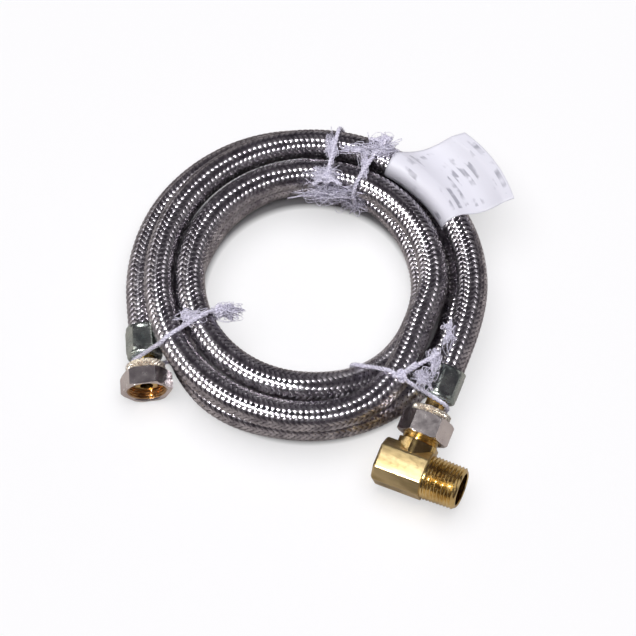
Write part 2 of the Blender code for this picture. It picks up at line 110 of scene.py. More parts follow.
# Floor, whose glow leaves out a ring under the coil: the ring's radius, and how far from it, in metres, the
# glow starts and is full
COIL_MIDDLE, COIL_SHADE, FLOOR_GLOW = 53.0, (0.008, 0.011), 0.56
FLOOR_SIZE, FLOOR_Z = 8.0, -0.0004  # metres

# Camera, in metres and degrees
LENS, SENSOR = 114.5, 36.0
TARGET, ELEVATION, DISTANCE = (0.0, -0.0048, 0.0145), 64, 0.8


# ---------------------------------------------------------------- the hose's line, as in the CAD source


def unit(v):
    v = np.array(v, float)
    return v / np.linalg.norm(v)


def through(stations, at):
    """The value at one place on a smooth curve through (place, value) stations, which never overshoots."""
    x, y = np.array(stations, float).T
    run = np.diff(x)
    slope = np.diff(y) / run
    lean = np.zeros(len(x))
    lean[0], lean[-1] = slope[0], slope[-1]
    for i in range(1, len(x) - 1):
        if slope[i - 1] * slope[i] > 0:
            lean[i] = 2 * slope[i - 1] * slope[i] / (slope[i - 1] + slope[i])
    k = int(np.clip(np.searchsorted(x, at) - 1, 0, len(run) - 1))
    t = (at - x[k]) / run[k]
    ends = (2 * t**3 - 3 * t**2 + 1) * y[k] + (3 * t**2 - 2 * t**3) * y[k + 1]
    leans = (t**3 - 2 * t**2 + t) * lean[k] + (t**3 - t**2) * lean[k + 1]
    return ends + leans * run[k]


def crossing_phase(turn):
    share = (turn - CROSSING[0]) / (CROSSING[1] - CROSSING[0])
    return pi / 4 * (1 - cos(pi * share))


def coil_point(turn):
    """The hose's centre at a turn angle in degrees."""
    start, stop = CROSSING
    if turn <= start:
        r, z = through(TOP_OUTER, turn), TOP_Z
    elif turn <= stop:
        r, z = INNER_R + CROSSING_STEP * cos(crossing_phase(turn)), TOP_Z
    elif turn <= start + 360:
        r, z = through(TOP_INNER, turn), TOP_Z
    elif turn <= stop + 360:
        drop = sin(crossing_phase(turn - 360))
        above, below = TOP_INNER[-1][1], BOTTOM[0][1]
        r, z = above + (below - above) * drop, TOP_Z - LAYER_STEP * drop
    else:
        r, z = through(BOTTOM, turn), through(INLET_RISE, turn)
    return np.array((r * cos(radians(turn)), r * sin(radians(turn)), z))


def bend(start, start_way, stop, stop_way, count):
    """Points on a smooth bend from start to stop, leaving out both ends."""
    start, stop = np.array(start), np.array(stop)
    pull = np.linalg.norm(stop - start)
    points = []
    for t in np.linspace(0, 1, count + 2)[1:-1]:
        ends = (2 * t**3 - 3 * t**2 + 1) * start + (3 * t**2 - 2 * t**3) * stop
        ways = (t**3 - 2 * t**2 + t) * unit(start_way) + (t**3 - t**2) * unit(stop_way)
        points.append(ends + pull * ways)
    return points


def along(end, way, distance):
    return np.array(end) + unit(way) * distance


def hose_route(step):
    """The hose's centre line, from its outlet end to its inlet end."""
    stops = (HOSE_STOP, FERRULE_MIDDLE, FERRULE_BACK)
    outlet = [along(OUTLET_END, OUTLET_WAY, d) for d in stops]
    inlet = [along(INLET_END, INLET_WAY, d) for d in reversed(stops)]
    turns = [coil_point(turn) for turn in np.arange(0, LAST_TURN + 1, step)]
    near = coil_point(1) - coil_point(0)
    far = coil_point(LAST_TURN) - coil_point(LAST_TURN - 1)
    lead_in = bend(outlet[-1], -np.array(OUTLET_WAY), turns[0], near, round(36 / step))
    lead_out = bend(turns[-1], far, inlet[0], INLET_WAY, round(18 / step))
    return np.array(outlet + lead_in + turns + lead_out + inlet)


def end_frame(end, way, distance=0.0, roll=0.0):
    """A piece's place on an end's axis, in millimetres: its z axis points out of the hose, its y axis up."""
    z = Vector(unit(way))
    x = Vector((0, 0, 1)).cross(z).normalized()
    turned_to = Matrix((x, z.cross(x), z)).transposed().to_4x4()
    at = Matrix.Translation(Vector(along(end, way, distance)))
    return at @ turned_to @ Matrix.Rotation(radians(roll), 4, "Z")


class Line:
    """A route with its arc length and a frame at every place: side, to the right of the way, and up."""

    def __init__(self, route, closed=False):
        route = np.array(route, float)
        self.closed = closed
        if closed:
            route = np.vstack((route, route[:1]))
        self.at = np.concatenate(([0.0], np.cumsum(np.linalg.norm(np.diff(route, axis=0), axis=1))))
        self.route = route
        ways = np.gradient(route, self.at, axis=0)
        if closed:
            ways[0] = ways[-1] = route[1] - route[-2]
        self.ways = ways / np.linalg.norm(ways, axis=1)[:, None]

    @property
    def length(self):
        return self.at[-1]

    def read(self, values, s):
        if self.closed:
            s = np.mod(s, self.length)
        return np.stack([np.interp(s, self.at, values[:, i]) for i in range(3)], -1)

    def ring(self, s, angle, radius):
        """Points at an angle round the line, for a line that lies nearly level."""
        way = self.read(self.ways, s)
        side = np.cross(way, UP)
        side /= np.linalg.norm(side, axis=-1, keepdims=True)
        up = np.cross(side, way)
        turn = np.cos(angle)[..., None] * side + np.sin(angle)[..., None] * up
        return self.read(self.route, s) + np.asarray(radius)[..., None] * turn


# ---------------------------------------------------------------- materials


def shader(name, colour, roughness, metallic=0.0, **extra):
    """A material with its nodes, links and Principled shader."""
    m = bpy.data.materials.new(name)
    m.use_nodes = True
    nodes, links = m.node_tree.nodes, m.node_tree.links
    bsdf = nodes["Principled BSDF"]
    bsdf.inputs["Base Color"].default_value = (*colour, 1)
    bsdf.inputs["Roughness"].default_value = roughness
    bsdf.inputs["Metallic"].default_value = metallic
    for socket, value in extra.items():
        bsdf.inputs[socket.replace("_", " ")].default_value = value
    m.diffuse_color = (*colour, 1)
    return m, nodes, links, bsdf


def noise(nodes, links, scale, detail=4.0, streak=None):
    """A noise in the object's coordinates, in cycles per metre. streak is a level angle and a stretch."""
    where = nodes.new("ShaderNodeTexCoord")
    tex = nodes.new("ShaderNodeTexNoise")
    tex.inputs["Scale"].default_value = scale
    tex.inputs["Detail"].default_value = detail
    if streak is None:
        links.new(where.outputs["Object"], tex.inputs["Vector"])
    else:
        mapping = nodes.new("ShaderNodeMapping")
        mapping.vector_type = "TEXTURE"
        mapping.inputs["Rotation"].default_value = (0, 0, radians(streak[0]))
        mapping.inputs["Scale"].default_value = (streak[1], 1, 1)
        links.new(where.outputs["Object"], mapping.inputs["Vector"])
        links.new(mapping.outputs["Vector"], tex.inputs["Vector"])
    return tex.outputs["Fac"]


def ramp(nodes, links, value, *stops):
    """Maps a value through (place, colour) stops."""
    node = nodes.new("ShaderNodeValToRGB")
    links.new(value, node.inputs["Fac"])
    elements = node.color_ramp.elements
    while len(elements) < len(stops):
        elements.new(0.5)
    for element, (place, colour) in zip(elements, stops):
        element.position = place
        element.color = (*colour, 1)
    return node.outputs["Color"]


def spread(nodes, links, value, low, high):
    node = nodes.new("ShaderNodeMapRange")
    node.inputs["From Min"].default_value, node.inputs["From Max"].default_value = 0.3, 0.7
    node.inputs["To Min"].default_value, node.inputs["To Max"].default_value = low, high
    links.new(value, node.inputs["Value"])
    return node.outputs["Result"]


def bump(nodes, links, bsdf, height, strength, distance):
    node = nodes.new("ShaderNodeBump")
    node.inputs["Strength"].default_value = strength
    node.inputs["Distance"].default_value = distance
    links.new(height, node.inputs["Height"])
    links.new(node.outputs["Normal"], bsdf.inputs["Normal"])


def metal(name, dark, light, roughness, stain_scale, grain_scale, grain, streak=None, metallic=1.0):
    """A bare or plated metal: stained colour, uneven polish and a fine grain."""
    m, nodes, links, bsdf = shader(name, light, roughness, metallic)
    stain = noise(nodes, links, stain_scale, 5.0, streak)
    links.new(ramp(nodes, links, stain, (0.36, dark), (0.62, light)), bsdf.inputs["Base Color"])
    low, high = roughness * 0.88, roughness * 1.15
    links.new(spread(nodes, links, noise(nodes, links, stain_scale * 3), low, high), bsdf.inputs["Roughness"])
    bump(nodes, links, bsdf, noise(nodes, links, grain_scale, 3.0, streak), grain, 0.00004)
    return m


def braid_metal():
    """Bright drawn wire, smooth along each ribbon and rough across it, so that a light glints in dashes."""
    m, nodes, links, bsdf = shader("braid_wire", (0.62, 0.58, 0.64), 0.30, 1.0, Anisotropic=0.85)
    tone = noise(nodes, links, 260.0, 3.0)
    colour = ramp(nodes, links, tone, (0.35, (0.30, 0.28, 0.31)), (0.65, (0.66, 0.63, 0.66)))
    links.new(colour, bsdf.inputs["Base Color"])
    tangent = nodes.new("ShaderNodeTangent")
    tangent.direction_type = "UV_MAP"
    tangent.uv_map = "across"
    links.new(tangent.outputs["Tangent"], bsdf.inputs["Tangent"])
    return m


def liner_plastic():
    m, nodes, links, bsdf = shader("liner", (0.035, 0.028, 0.035), 0.5)
    tone = noise(nodes, links, 400.0)
    colour = ramp(nodes, links, tone, (0.3, (0.02, 0.016, 0.022)), (0.7, (0.06, 0.05, 0.06)))
    links.new(colour, bsdf.inputs["Base Color"])
    return m


def twine_fibre():
    m, nodes, links, bsdf = shader("twine_fibre", (0.78, 0.76, 0.88), 0.85, Sheen_Weight=0.25)
    tone = noise(nodes, links, 1500.0, 4.0)
    colour = ramp(nodes, links, tone, (0.3, (0.46, 0.44, 0.56)), (0.62, (0.86, 0.84, 0.94)))
    links.new(colour, bsdf.inputs["Base Color"])
    bump(nodes, links, bsdf, noise(nodes, links, 5000.0), 0.5, 0.0001)
    return m


def compare(nodes, links, value, limit):
    """1 where the value is over the limit, with a soft edge."""
    node = nodes.new("ShaderNodeMapRange")
    node.inputs["From Min"].default_value, node.inputs["From Max"].default_value = limit, limit + 0.08
    links.new(value, node.inputs["Value"])
    return node.outputs["Result"]


def maths(nodes, links, operation, a, b):
    node = nodes.new("ShaderNodeMath")
    node.operation = operation
    for socket, value in zip(node.inputs, (a, b)):
        if isinstance(value, (int, float)):
            socket.default_value = value
        else:
            links.new(value, socket)
    return node.outputs["Value"]


def paper():
    """White paper with generic grey bars: short blocks in lines over part of the sheet, and no lettering."""
    white, grey = (0.78, 0.78, 0.84), (0.25, 0.25, 0.30)
    m, nodes, links, bsdf = shader("paper", white, 0.55)
    uv = nodes.new("ShaderNodeUVMap")
    uv.uv_map = "sheet"
    parts = nodes.new("ShaderNodeSeparateXYZ")
    links.new(uv.outputs["UV"], parts.inputs["Vector"])
    across, down = parts.outputs["X"], parts.outputs["Y"]
    lines = maths(nodes, links, "PINGPONG", maths(nodes, links, "MULTIPLY", across, 11.0), 0.5)
    mapping = nodes.new("ShaderNodeMapping")
    mapping.inputs["Scale"].default_value = (9.0, 5.0, 1.0)
    links.new(uv.outputs["UV"], mapping.inputs["Vector"])
    blocks = nodes.new("ShaderNodeTexNoise")
    blocks.inputs["Scale"].default_value = 1.0
    links.new(mapping.outputs["Vector"], blocks.inputs["Vector"])
    soft = nodes.new("ShaderNodeTexNoise")
    soft.inputs["Scale"].default_value = 3.2
    links.new(uv.outputs["UV"], soft.inputs["Vector"])
    edge = maths(nodes, links, "ABSOLUTE", maths(nodes, links, "SUBTRACT", down, 0.5), 0.0)
    printed = maths(nodes, links, "MULTIPLY", compare(nodes, links, lines, 0.2),
                    compare(nodes, links, blocks.outputs["Fac"], 0.46))
    placed = maths(nodes, links, "MULTIPLY", compare(nodes, links, soft.outputs["Fac"], 0.47),
                   maths(nodes, links, "LESS_THAN", edge, 0.42))
    ink = maths(nodes, links, "MULTIPLY", maths(nodes, links, "MULTIPLY", printed, placed), 0.72)
    mix = nodes.new("ShaderNodeMix")
    mix.data_type = "RGBA"
    links.new(ink, mix.inputs["Factor"])
    mix.inputs["A"].default_value = (*white, 1)
    mix.inputs["B"].default_value = (*grey, 1)
    links.new(mix.outputs["Result"], bsdf.inputs["Base Color"])
    bump(nodes, links, bsdf, noise(nodes, links, 2500.0), 0.15, 0.00005)
    return m


# ---------------------------------------------------------------- meshes


def grid_faces(rows, columns, wrap_rows=False, wrap_columns=True):
    a, b = np.meshgrid(
        np.arange(rows if wrap_rows else rows - 1),
        np.arange(columns if wrap_columns else columns - 1), indexing="ij",
    )
    c, d = (a + 1) % rows, (b + 1) % columns
    corners = (a * columns + b, a * columns + d, c * columns + d, c * columns + b)
    return np.stack(corners, -1).reshape(-1, 4)


class Shape:
    """Points and faces gathered from several grids."""

    def __init__(self):
        self.points, self.faces, self.uvs, self.count = [], [], [], 0

    def add(self, points, wrap_rows=False, wrap_columns=True, caps=False, uv=None, flip=False):
        rows, columns = points.shape[:2]
        faces = grid_faces(rows, columns, wrap_rows, wrap_columns)
        if flip:
            faces = faces[:, ::-1]
        self.faces += (faces + self.count).tolist()
        if caps:
            last = (rows - 1) * columns
            self.faces.append([self.count + i for i in reversed(range(columns))])
            self.faces.append([self.count + last + i for i in range(columns)])
        self.points.append(points.reshape(-1, 3))
        if uv is not None:
            self.uvs.append(uv.reshape(-1, 2))
        self.count += rows * columns

    def mesh(self, name, place=None, uv_name=None, sharp=40):
        points = np.vstack(self.points)
        if place is not None:
            turn = np.array(place)
            points = points @ turn[:3, :3].T + turn[:3, 3]
        mesh = bpy.data.meshes.new(name)
        mesh.from_pydata(((points + CENTRE) * MM).tolist(), [], self.faces)
        mesh.shade_smooth()
        if sharp:
            mesh.set_sharp_from_angle(angle=radians(sharp))
        if uv_name:
            corner = np.zeros(len(mesh.loops), np.int32)
            mesh.loops.foreach_get("vertex_index", corner)
            layer = mesh.uv_layers.new(name=uv_name)
            layer.data.foreach_set("uv", np.vstack(self.uvs)[corner].astype(np.float32).ravel())
        return mesh


def piece(name, mesh, finish, body, slot, *replaced):
    """Puts a mesh in the scene as a piece of the object."""
    obj = bpy.data.objects.new(name, mesh)
    bpy.context.scene.collection.objects.link(obj)
    mesh.materials.append(finish)
    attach(obj, body)
    if replaced:
        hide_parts(*replaced)
    return obj


def revolve(stations, sides):
    """A ring of points for each (z, radius) station. A radius may be a function of the angles and z."""
    angles = 2 * pi * np.arange(sides) / sides
    rings = []
    for z, r in stations:
        radius = r(angles, z) if callable(r) else np.full(sides, float(r))
        rings.append(np.stack((radius * np.cos(angles), radius * np.sin(angles), np.full(sides, z)), -1))
    return np.array(rings)


def hexagon(flats):
    return lambda a: flats / 2 / np.cos(np.mod(a, pi / 3) - pi / 6)


def thread(root, crest, pitch):
    """The radius of a helical thread with flanks and narrow flats."""
    def radius(a, z):
        wave = np.abs(np.mod(z / pitch - a / (2 * pi), 1.0) * 2 - 1)
        return root + (crest - root) * np.clip(wave * 1.25 - 0.125, 0, 1)
    return radius


def smooth_step(x):
    x = np.clip(x, 0, 1)
    return x * x * (3 - 2 * x)


# ---------------------------------------------------------------- hose


def hose_liner(line, finish):
    """The dark liner behind the braid, as the hose's own body."""
    shape = Shape()
    s = np.linspace(0, line.length, LINER_ROWS)[:, None]
    angles = 2 * pi * np.arange(LINER_SIDES)[None, :] / LINER_SIDES
    s, angles = np.broadcast_arrays(s, angles)
    shape.add(line.ring(s, -angles, np.full(s.shape, BACKING_R)), caps=True)
    return piece("hose_liner", shape.mesh("hose_liner"), finish, "hose_assembly", "liner", "inner_tube")


def carrier(line, k, way):
    """One flat ribbon of wires, going round the hose one way or the other, over two and under two."""
    per_lay = 2 * CARRIERS
    steps = round(line.length / LAY * per_lay / 4 * FLOAT_STEPS)
    s = np.linspace(0, line.length, steps + 1)[:, None]
    v = np.linspace(-1, 1, 5)[None, :]
    lean = np.arctan(2 * pi * WEAVE_R / LAY)
    offset = v * RIBBON_WIDTH / 2
    at = np.clip(s - offset * sin(lean), 0, line.length)
    angle = way * (2 * pi * s / LAY) + 2 * pi * k / CARRIERS + way * offset * cos(lean) / WEAVE_R
    phase = 2 * k + way * per_lay * s / LAY
    wave = np.tanh(1.6 * np.sin(pi / 2 * (phase + 0.5))) / np.tanh(1.6)
    radius = WEAVE_R + way * WEAVE_LIFT * wave + RIBBON_CROWN * (1 - v * v)
    at, angle, radius = np.broadcast_arrays(at, angle, radius)
    uv = np.stack(np.broadcast_arrays(v * 0.5 + 0.5, s / 100.0), -1)
    return line.ring(at, angle, radius), uv


def braid(line, finish):
    """The woven jacket, in four pieces of six carriers each, so that each mesh stays a handy size."""
    made = []
    for way, side in ((1, "right"), (-1, "left")):
        for half in (0, 1):
            shape = Shape()
            for k in range(half, CARRIERS, 2):
                points, uv = carrier(line, k, way)
                shape.add(points, wrap_columns=False, uv=uv, flip=way < 0)
            name = f"braid_{side}_{half + 1}"
            mesh = shape.mesh(name, uv_name="across", sharp=None)
            replaced = () if made else ("braided_jacket",)
            made.append(piece(name, mesh, finish, "hose_assembly", "braid", *replaced))
    return made


# ---------------------------------------------------------------- end fittings


def ferrule(side, place, finish):
    """A crimped sleeve: six flat panels pressed into its middle, with a ridge left between each two."""
    panel = hexagon(FERRULE_FLATS)

    def crimped(a, z):
        pressed = smooth_step((z - FERRULE_BACK - 0.9) / 1.3) * smooth_step((FERRULE_FRONT - 1.6 - z) / 1.3)
        corner = np.minimum(panel(a), FERRULE_CORNER)
        return FERRULE_R + (corner - FERRULE_R) * pressed

    stations = [(FERRULE_BACK, 6.1), (FERRULE_BACK, 6.6), (FERRULE_BACK + 0.15, 6.85)]
    stations += [(z, crimped) for z in np.linspace(FERRULE_BACK + 0.4, FERRULE_FRONT - 0.9, 40)]
    stations += [(FERRULE_FRONT - 0.5, 6.8), (FERRULE_FRONT - 0.15, 6.4), (FERRULE_FRONT, 5.8)]
    stations += [(FERRULE_FRONT, 4.25), (FERRULE_FRONT - 0.8, 4.25), (FERRULE_FRONT - 0.8, 6.1)]
    shape = Shape()
    shape.add(revolve(stations, 144), wrap_rows=True)
    name = f"crimped_{side}_ferrule"
    mesh = shape.mesh(name, place, sharp=32)
    return piece(name, mesh, finish, "hose_assembly", "ferrule_steel", f"{side}_ferrule")


def knurl(a, z):
    """A diamond knurl, from two sets of helical grooves."""
    ridges = []
    for way in (1, -1):
        ridges.append(np.abs(np.mod(KNURL_TEETH * a / (2 * pi) + way * KNURL_LEAN * z, 1.0) * 2 - 1))
    return KNURL_R + KNURL_CUT * np.clip(np.minimum(*ridges) * 1.25, 0, 1)


def nut(side, place, knurl_length, long, finish, knurl_sheen, inner):
    """The coupling nut: a knurled collar and a chamfered hexagon, and a brass thread inside. The collar's
    colour is partly a painted sheen, the thread's partly painted shade.
    """
    flats = hexagon(NUT_FLATS)
    start = long - NUT_THREAD_LONG

    def hex_body(a, z):
        back, front = 9.3 + (z - knurl_length) * 1.6, 9.55 + (long - z) * 1.7
        return np.minimum(flats(a), min(back, front))

    collar = [(0.3, 6.0), (0.3, 7.15)]
    collar += [(z, knurl) for z in np.linspace(0.4, knurl_length - 0.15, 28)]
    collar += [(knurl_length - 0.1, 7.2), (knurl_length - 0.1, 6.0)]
    shell = [(0.0, NUT_HOLE_R), (0.0, 6.7), (0.3, 7.0), (knurl_length - 0.1, 7.0), (knurl_length, 8.7)]
    shell += [(z, hex_body) for z in np.linspace(knurl_length + 0.05, knurl_length + 0.9, 8)]
    shell += [(z, hex_body) for z in np.linspace(long - 0.8, long, 7)]
    shell += [(long, 8.2), (long - 0.45, 7.75), (start, 7.75), (start, 6.95), (1.7, 6.95), (1.7, NUT_HOLE_R)]
    cut = thread(NUT_THREAD_ROOT, NUT_THREAD_CREST, NUT_THREAD_PITCH)
    bore = [(1.8, 7.1), (start - 0.1, 7.1), (start, 7.85), (long - 0.5, 7.85), (long - 0.5, 7.6)]
    bore += [(z, cut) for z in np.linspace(long - 0.6, start, 66)]
    bore += [(start - 0.1, 6.7), (1.8, 6.7)]
    made = []
    for name, stations, sides, look, slot, replaced in (
        (f"hex_{side}_nut", shell, 180, finish, "nickel", (f"{side}_nut",)),
        (f"{side}_nut_knurl", collar, 280, knurl_sheen, "nickel", ()),
        (f"{side}_nut_thread", bore, 96, inner, "brass", ()),
    ):
        shape = Shape()
        shape.add(revolve(stations, sides), wrap_rows=True)
        made.append(piece(name, shape.mesh(name, place, sharp=30), look, f"{side}_nut", slot, *replaced))
    return made


# ---------------------------------------------------------------- elbow


def cutter(profile, turn, place):
    shape = Shape()
    points = revolve(profile, 64)
    matrix = np.array(turn)
    shape.add(points @ matrix[:3, :3].T, caps=True)
    obj = bpy.data.objects.new("cutter", shape.mesh("cutter", place))
    bpy.context.scene.collection.objects.link(obj)
    return obj


def block(place):
    """The forged block, an eight-sided bar with eased edges, bored both ways."""
    half, cut = BLOCK_FLATS / 2, BLOCK_CHAMFER
    rows = []
    for x, inset in ((BLOCK_BACK, 1.0), (BLOCK_BACK + 0.8, 0.0), (BLOCK_FRONT, 0.0)):
        h, c = half - inset, half - cut - inset * 0.4
        corners = ((c, -h), (h, -c), (h, c), (c, h), (-c, h), (-h, c), (-h, -c), (-c, -h))
        rows.append([(x, y, z) for y, z in corners])
    shape = Shape()
    shape.add(np.array(rows), caps=True)
    mesh = shape.mesh("block", place)
    work = bmesh.new()
    work.from_mesh(mesh)
    bmesh.ops.bevel(
        work, geom=work.edges[:], offset=BLOCK_ROUND * MM, segments=3, profile=0.6, affect="EDGES",
        clamp_overlap=True,
    )
    work.to_mesh(mesh)
    work.free()
    mesh.shade_smooth()
    body = bpy.data.objects.new("block", mesh)
    bpy.context.scene.collection.objects.link(body)
    to_x = Matrix.Rotation(pi / 2, 4, "Y")
    cutters = (
        cutter([(-5.0, 2.5), (-3.0, 6.0), (0.0, PIPE_BORE_R), (BLOCK_FRONT + 1, PIPE_BORE_R)], to_x, place),
        cutter([(-BLOCK_FLATS / 2 - 2, STUB_BORE_R), (0.5, STUB_BORE_R)], Matrix(), place),
    )
    for tool in cutters:
        cut_away = body.modifiers.new("cut", "BOOLEAN")
        cut_away.object = tool
        cut_away.operation = "DIFFERENCE"
        cut_away.solver = "EXACT"
    evaluated = body.evaluated_get(bpy.context.evaluated_depsgraph_get())
    made = bpy.data.meshes.new_from_object(evaluated)
    for spare in (body, *cutters):
        bpy.data.objects.remove(spare, do_unlink=True)
    made.set_sharp_from_angle(angle=radians(38))
    return made


def elbow(finish, machined):
    """The elbow in three pieces that move as one: its block, its pipe thread and its nut thread."""
    place = end_frame(OUTLET_END, OUTLET_WAY, ELBOW_AT, ELBOW_ROLL)
    pieces = [piece("elbow_block", block(place), finish, "elbow", "brass", "elbow")]

    def tapered(a, z):
        share = (z - BLOCK_FRONT) / (PIPE_END - BLOCK_FRONT)
        crest = PIPE_R - PIPE_TAPER * share
        full = thread(crest - PIPE_THREAD_DEEP, crest, PIPE_THREAD_PITCH)(a, z)
        run_out = smooth_step((z - BLOCK_FRONT) / 1.6)
        return (crest - 0.3) * (1 - run_out) + full * run_out

    pipe = [(BLOCK_FRONT - 0.8, 6.4), (BLOCK_FRONT - 0.8, 8.4)]
    pipe += [(z, tapered) for z in np.linspace(BLOCK_FRONT, PIPE_END - 0.9, 100)]
    pipe += [(PIPE_END - 0.6, 7.75), (PIPE_END - 0.1, 7.35), (PIPE_END, 7.15)]
    pipe += [(PIPE_END, 6.75), (PIPE_END - 0.3, 6.4)]
    nut_thread = thread(STUB_THREAD_ROOT, STUB_THREAD_CREST, NUT_THREAD_PITCH)
    stub = [(STUB_FACE, 6.5), (STUB_FACE, 6.6), (STUB_FACE + 0.4, 6.9)]
    stub += [(z, nut_thread) for z in np.linspace(STUB_FACE + 0.5, -11.0, 60)]
    boss = hexagon(BOSS_FLATS)

    def collar(a, z):
        return np.minimum(boss(a + pi / 6), 8.3)

    stub += [(-10.95, 7.1), (-10.9, collar), (-5.0, collar), (-5.0, 3.6), (STUB_FACE + 4.4, 3.6)]
    to_x = Matrix.Rotation(pi / 2, 4, "Y")
    for name, stations, turn, sides in (
        ("elbow_pipe_thread", pipe, to_x, 96), ("elbow_nut_thread", stub, Matrix(), 96),
    ):
        shape = Shape()
        shape.add(revolve(stations, sides), wrap_rows=True)
        pieces.append(piece(name, shape.mesh(name, place @ turn, sharp=34), machined, "elbow", "brass"))
    return pieces


# ---------------------------------------------------------------- twine


def plane_cuts(route, start, stop):
    """Where the hose's centre line passes over a line on the floor, with its way there."""
    across = unit(stop - start)
    side = (route[:, :2] - start) @ (-across[1], across[0])
    cuts = []
    for i in np.nonzero(side[:-1] * side[1:] < 0)[0]:
        t = side[i] / (side[i] - side[i + 1])
        at = route[i] + t * (route[i + 1] - route[i])
        if 0 < (at[:2] - start) @ across < np.linalg.norm(stop - start):
            cuts.append((at, unit(route[i + 1] - route[i]), HOSE_R))
    return cuts


def convex_outline(points):
    """The outline of a cloud of (s, z) points, counter-clockwise."""
    points = sorted({(round(s, 4), round(z, 4)) for s, z in points})

    def turn_of(a, b, c):
        return (b[0] - a[0]) * (c[1] - a[1]) - (b[1] - a[1]) * (c[0] - a[0])

    def chain(ordered):
        hull = []
        for p in ordered:
            while len(hull) > 1 and turn_of(hull[-2], hull[-1], p) <= 0:
                hull.pop()
            hull.append(p)
        return hull[:-1]

    return chain(points) + chain(points[::-1])


def tie_loop(route, plan, neck):
    """A taut loop of twine round all the turns that a line on the floor crosses, and round a neck."""
    plan = [np.array(p) for p in plan]
    cloud = []
    done = 0.0
    for start, stop in zip(plan, plan[1:]):
        across = unit(stop - start)
        normal = np.array((-across[1], across[0]))
        rounds = plane_cuts(route, start, stop)
        if neck is not None and stop is plan[-1]:
            end, way = neck
            t = (start - np.array(end[:2])) @ normal / (unit(way)[:2] @ normal)
            rounds.append((along(end, way, t), unit(way), NECK_R))
        for centre, way, radius in rounds:
            s = done + (centre[:2] - start) @ across
            wide = 1 / abs(way[:2] @ normal)
            clear = radius + TWINE_GAP + TWINE_R
            for a in np.linspace(0, 2 * pi, 48, endpoint=False):
                cloud.append((s + clear * wide * cos(a), centre[2] + clear * sin(a)))
        done += np.linalg.norm(stop - start)
    return [np.array((*on_plan(plan, s), max(z, TWINE_R))) for s, z in convex_outline(cloud)]


def on_plan(plan, s):
    """The floor point at a length along the plan line, which runs on straight past its ends."""
    for start, stop in zip(plan, plan[1:]):
        reach = np.linalg.norm(stop - start)
        if s <= reach or stop is plan[-1]:
            return start + unit(stop - start) * s
        s -= reach


def rings(angles, across, beside):
    """A ring of unit offsets at every point of a path, from its two cross directions."""
    return np.cos(angles)[None, :, None] * across[:, None] + np.sin(angles)[None, :, None] * beside[:, None]


def twisted(shape, line, turns, radius=TWINE_R):
    """Three plies laid round a line."""
    steps = max(12, round(line.length / 0.7))
    s = np.linspace(0, line.length, steps, endpoint=not line.closed)
    way = line.read(line.ways, s)
    across = np.zeros_like(way)
    last = unit(np.cross(way[0], (0.31, 0.52, 0.79)))
    for i, w in enumerate(way):
        last = unit(last - w * (last @ w))
        across[i] = last
    beside = np.cross(way, across)
    if line.closed:
        gap = np.arctan2(last @ beside[0], last @ across[0])
    else:
        gap = 0.0
    angles = 2 * pi * np.arange(7) / 7
    place = line.read(line.route, s)
    lay_r, ply_r = radius * PLY_LAY, radius * PLY_SHARE
    for ply in range(PLIES):
        lean = 2 * pi * (turns * s / line.length + ply / PLIES) - gap * s / line.length
        middle = place + lay_r * (np.cos(lean)[:, None] * across + np.sin(lean)[:, None] * beside)
        offsets = ply_r * rings(angles, across, beside)
        shape.add(middle[:, None] + offsets, wrap_rows=line.closed, caps=not line.closed)


def fluff(shape, line, count, rng):
    """Short stray fibres that stand out of the twine."""
    for _ in range(count):
        s = rng.uniform(0, line.length)
        root = line.read(line.route, np.array([s]))[0]
        out = unit(rng.normal(size=3))
        out[2] = abs(out[2])
        lean = unit(rng.normal(size=3))
        length = rng.uniform(0.5, 1.4)
        path = np.array([root + out * (0.6 + length * t) + lean * 0.35 * length * t * t for t in (0, 0.5, 1)])
        if path[:, 2].min() < 0.1:
            continue
        a = unit(np.cross(out, lean))
        b = np.cross(out, a)
        ring = np.array([FIBRE_R * (cos(k) * a + sin(k) * b) for k in (0, 2.09, 4.19)])
        shape.add(path[:, None] + ring[None], caps=True)


def knot_line(centre, across, size):
    """A trefoil, which is what a half hitch pulled tight comes to."""
    t = np.linspace(0, 2 * pi, 60, endpoint=False)
    flat = np.stack((np.sin(t) + 2 * np.sin(2 * t), np.cos(t) - 2 * np.cos(2 * t), -np.sin(3 * t)), -1) / 3
    first = unit(across - UP * (across @ UP))
    second = np.cross(UP, first)
    return centre + size * (flat[:, :1] * first + flat[:, 1:2] * second * 0.8 + flat[:, 2:] * UP * 1.1)


def clear_of_hose(points, route):
    """Moves the points that are inside the hose out to its surface."""
    gap = points[:, None] - route[None]
    near = np.argmin((gap**2).sum(-1), axis=1)
    away = points - route[near]
    far = np.linalg.norm(away, axis=1, keepdims=True)
    clear = HOSE_R + WISP_OFF_HOSE
    points = np.where(far < clear, route[near] + away / far * clear, points)
    points[:, 2] = np.maximum(points[:, 2], WISP_OFF_FLOOR)
    return points


